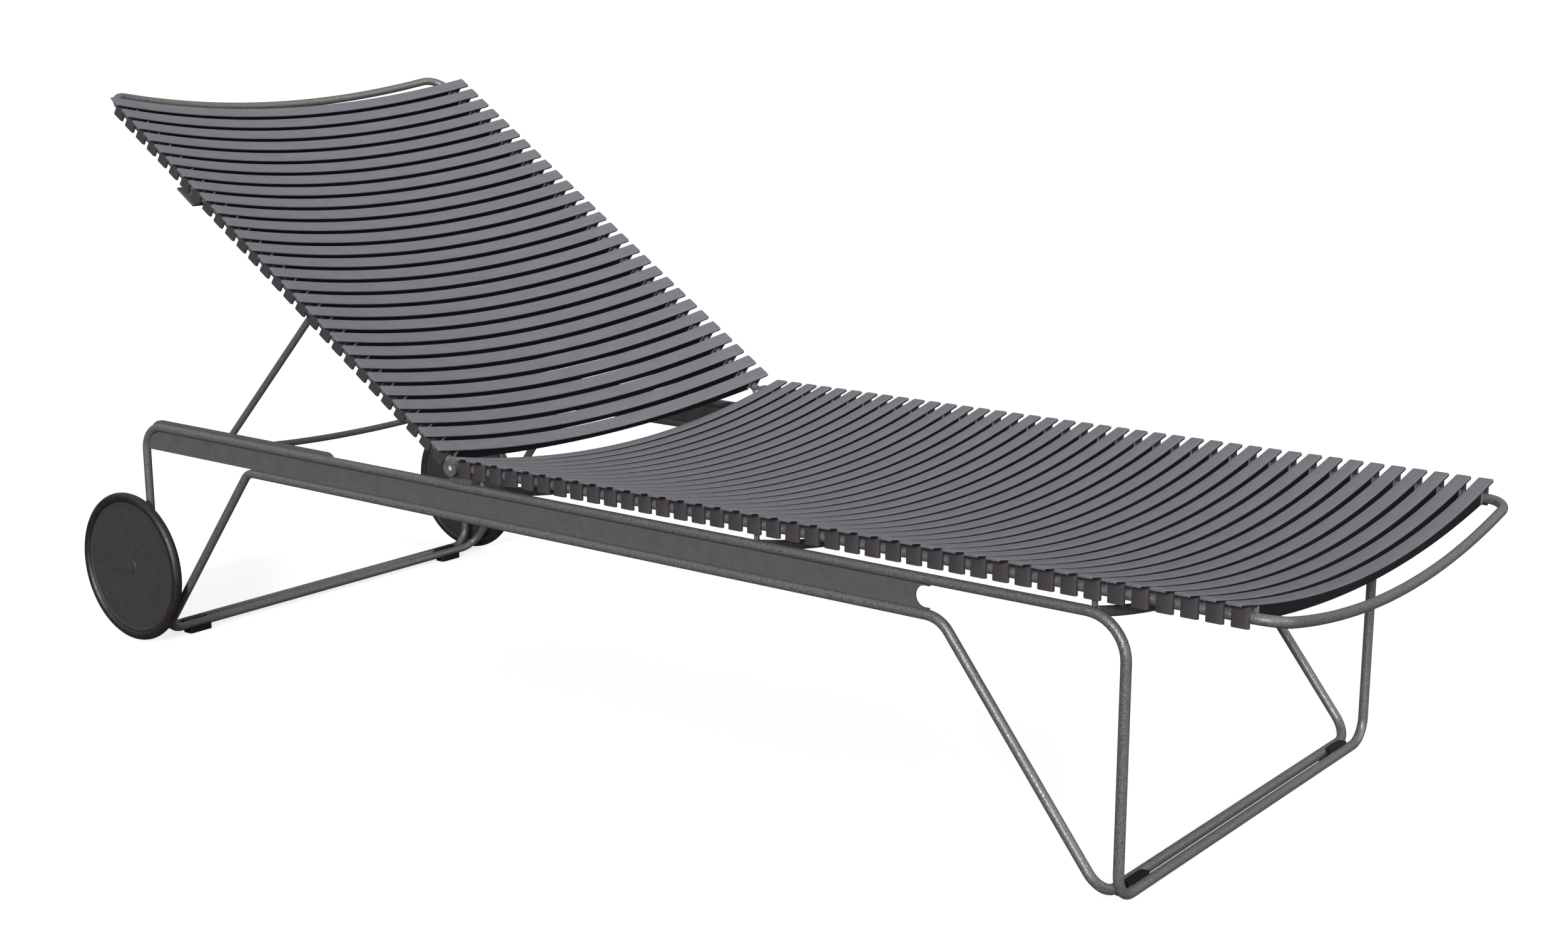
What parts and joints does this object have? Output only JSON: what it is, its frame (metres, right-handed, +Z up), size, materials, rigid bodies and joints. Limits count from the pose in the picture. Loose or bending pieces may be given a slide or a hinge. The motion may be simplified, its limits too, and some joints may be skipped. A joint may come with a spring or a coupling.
{
  "type": "reclining sun lounger",
  "caption": "Reclining sun lounger with a bent tube frame, bowed cross slats, a hinged backrest held by a rack and stay, and transport wheels.",
  "frame": {"origin": "centre of the bounding box in plan, on the ground under the wheels and pads", "axes": "+X towards the foot end, +Y towards the side away from the viewer, +Z up"},
  "size_m": [1.9866, 0.7242, 0.8258],
  "materials": {
    "coated_tube": "dark grey textured powder coat on steel tube",
    "coated_plate": "dark grey powder coat on steel plate",
    "slat_plastic": "satin grey moulded plastic",
    "wheel_plastic": "smooth dark grey plastic",
    "tyre_rubber": "dark brown-black rubber",
    "pad_rubber": "black rubber",
    "bright_steel": "bright zinc plated steel"
  },
  "bodies": {
    "frame": {"axle_bolt_far": "bright_steel", "axle_bolt_near": "bright_steel", "axle_lug_far": "coated_plate", "axle_lug_near": "coated_plate", "cross_bar_1": "coated_tube", "cross_bar_2": "coated_tube", "cross_bar_3": "coated_tube", "foot_pad_far": "pad_rubber", "foot_pad_near": "pad_rubber", "head_pad_far": "pad_rubber", "head_pad_near": "pad_rubber", "hinge_collar_far": "coated_tube", "hinge_collar_near": "coated_tube", "hinge_pin_far": "bright_steel", "hinge_pin_near": "bright_steel", "hinge_rest_far": "coated_plate", "hinge_rest_near": "coated_plate", "inner_hoop_far": "coated_tube", "inner_hoop_near": "coated_tube", "outer_hoop_far": "coated_tube", "outer_hoop_near": "coated_tube", "seat_eye_far": "coated_tube", "seat_eye_near": "coated_tube", "seat_frame": "coated_tube", "seat_slats_1": "slat_plastic", "seat_slats_2": "slat_plastic", "seat_slats_3": "slat_plastic", "seat_slats_4": "slat_plastic", "seat_slats_5": "slat_plastic", "seat_stub_1_far": "coated_tube", "seat_stub_1_near": "coated_tube", "seat_stub_2_far": "coated_tube", "seat_stub_2_near": "coated_tube", "seat_stub_3_far": "coated_tube", "seat_stub_3_near": "coated_tube", "side_plate_far": "coated_plate", "side_plate_near": "coated_plate", "stay_rack_far": "coated_plate", "stay_rack_near": "coated_plate"},
    "backrest": {"back_bracket_far": "coated_plate", "back_bracket_near": "coated_plate", "back_eye_far": "coated_tube", "back_eye_near": "coated_tube", "back_frame": "coated_tube", "back_slats_1": "slat_plastic", "back_slats_2": "slat_plastic", "back_slats_3": "slat_plastic", "back_slats_4": "slat_plastic", "stay_lug_far": "coated_tube", "stay_lug_near": "coated_tube"},
    "stay": {"stay": "coated_tube"},
    "wheel_near": {"hub_cap_near": "wheel_plastic", "tyre_near": "tyre_rubber", "wheel_disc_near": "wheel_plastic"},
    "wheel_far": {"hub_cap_far": "wheel_plastic", "tyre_far": "tyre_rubber", "wheel_disc_far": "wheel_plastic"}
  },
  "joints": [
    {"name": "backrest_hinge", "type": "hinge", "parent": "frame", "child": "backrest", "pos_m": [-0.19232, 0, 0.36], "axis": [0, 1, 0], "range_deg": [-33.5, 16.5]},
    {"name": "stay_hinge", "type": "hinge", "parent": "backrest", "child": "stay", "pos_m": [-0.48524, 0, 0.53709], "axis": [0, 1, 0], "range_deg": [-36.5, 73.9]},
    {"name": "wheel_near_spin", "type": "hinge", "parent": "frame", "child": "wheel_near", "pos_m": [-0.87833, -0.3546, 0.115], "axis": [0, 1, 0], "continuous": true},
    {"name": "wheel_far_spin", "type": "hinge", "parent": "frame", "child": "wheel_far", "pos_m": [-0.87833, 0.3546, 0.115], "axis": [0, 1, 0], "continuous": true}
  ],
  "couplings": [
    {"joint": "stay_hinge", "follows": "backrest_hinge", "ratio": -2.2}
  ]
}
